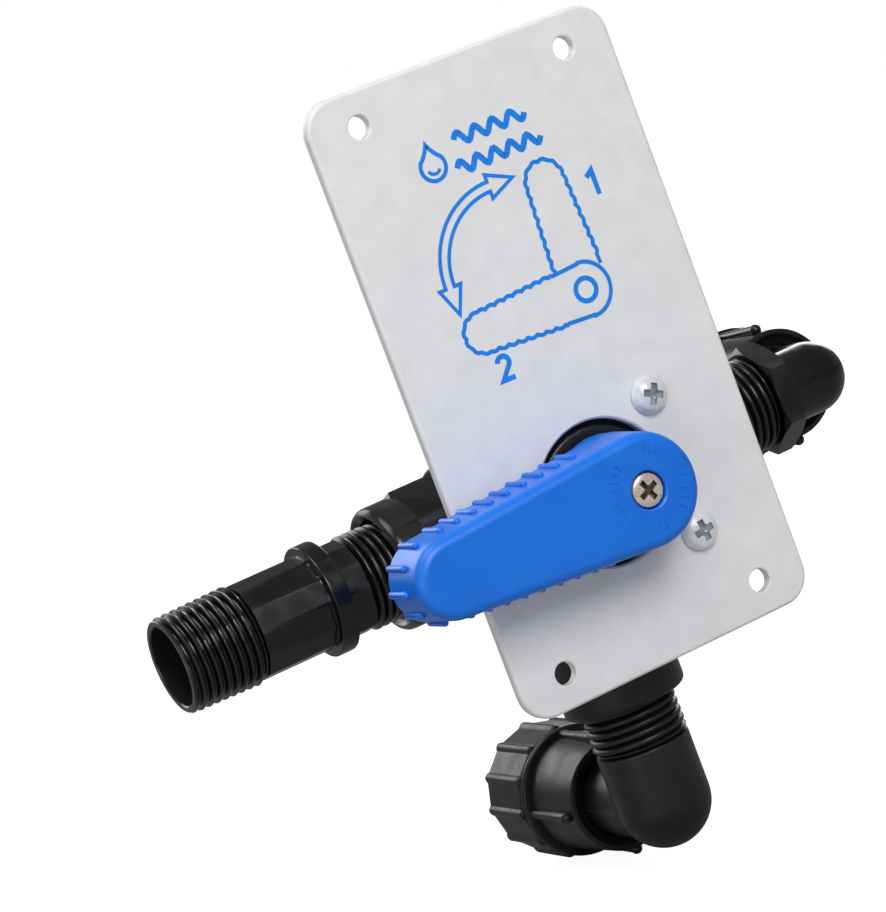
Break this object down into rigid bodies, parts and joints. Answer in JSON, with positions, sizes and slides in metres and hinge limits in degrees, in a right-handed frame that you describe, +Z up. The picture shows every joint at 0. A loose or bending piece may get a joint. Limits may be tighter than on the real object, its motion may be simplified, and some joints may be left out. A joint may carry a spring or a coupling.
{
  "type": "water source selector valve",
  "caption": "Wall plate with a three-way ball valve behind it, a blue lever in front, a check valve inlet and swivel elbow outlets.",
  "frame": {"origin": "centre of the wall plate's back face", "axes": "+X right along the plate, +Y back into the wall, +Z up along the plate's long side"},
  "size_m": [0.1727, 0.1015, 0.1771],
  "materials": {
    "plate_plastic": "fine pebbled white moulding with blue printing",
    "satin_black": "satin moulded",
    "gloss_black": "gloss moulded",
    "lever_blue": "semi-gloss moulded",
    "acetal": "satin machined",
    "seat_ptfe": "waxy",
    "seal_rubber": "matte",
    "screw_white_zinc": "white painted head, bright recess",
    "nickel_steel": "nickel plated",
    "spring_steel": "bright drawn wire"
  },
  "bodies": {
    "plate_and_valve": {"wall_plate": "plate_plastic", "valve_body": "satin_black", "left_port_adapter": "gloss_black", "port_o_ring": "seal_rubber", "ball_seat_left": "seat_ptfe", "ball_seat_right": "seat_ptfe", "ball_seat_bottom": "seat_ptfe", "packing_washer": "seat_ptfe", "gland_nut": "satin_black", "plate_screw_upper": "screw_white_zinc", "plate_screw_lower": "screw_white_zinc", "check_valve_body": "gloss_black", "check_seat": "satin_black", "check_spring": "spring_steel", "spring_retainer": "acetal", "right_elbow": "gloss_black", "bottom_elbow": "satin_black"},
    "selector_lever": {"lever": "lever_blue", "lever_screw": "nickel_steel", "stem": "acetal", "stem_o_ring_inner": "seal_rubber", "stem_o_ring_outer": "seal_rubber", "ball": "acetal"},
    "check_poppet": {"check_poppet": "acetal", "poppet_seal": "seal_rubber"},
    "right_nut": {"right_swivel_nut": "gloss_black", "right_cone_washer": "seal_rubber"},
    "bottom_nut": {"bottom_swivel_nut": "satin_black", "bottom_cone_washer": "seal_rubber"}
  },
  "joints": [
    {"name": "lever_turn", "type": "hinge", "parent": "plate_and_valve", "child": "selector_lever", "pos_m": [-0.0015, 0.024, -0.028], "axis": [0, 1, 0], "range_deg": [0, 90]},
    {"name": "poppet_slide", "type": "slide", "parent": "plate_and_valve", "child": "check_poppet", "axis": [1, 0, 0], "range_m": [0, 0.004], "stiffness_N_per_m": 120, "springref_m": -0.003, "deforming": ["check_spring"]},
    {"name": "right_nut_spin", "type": "hinge", "parent": "plate_and_valve", "child": "right_nut", "pos_m": [0.066, 0.024, -0.028], "axis": [0, 0.9986, -0.0523], "continuous": true},
    {"name": "bottom_nut_spin", "type": "hinge", "parent": "plate_and_valve", "child": "bottom_nut", "pos_m": [-0.0015, 0.024, -0.0968], "axis": [0, 1, 0], "continuous": true}
  ]
}
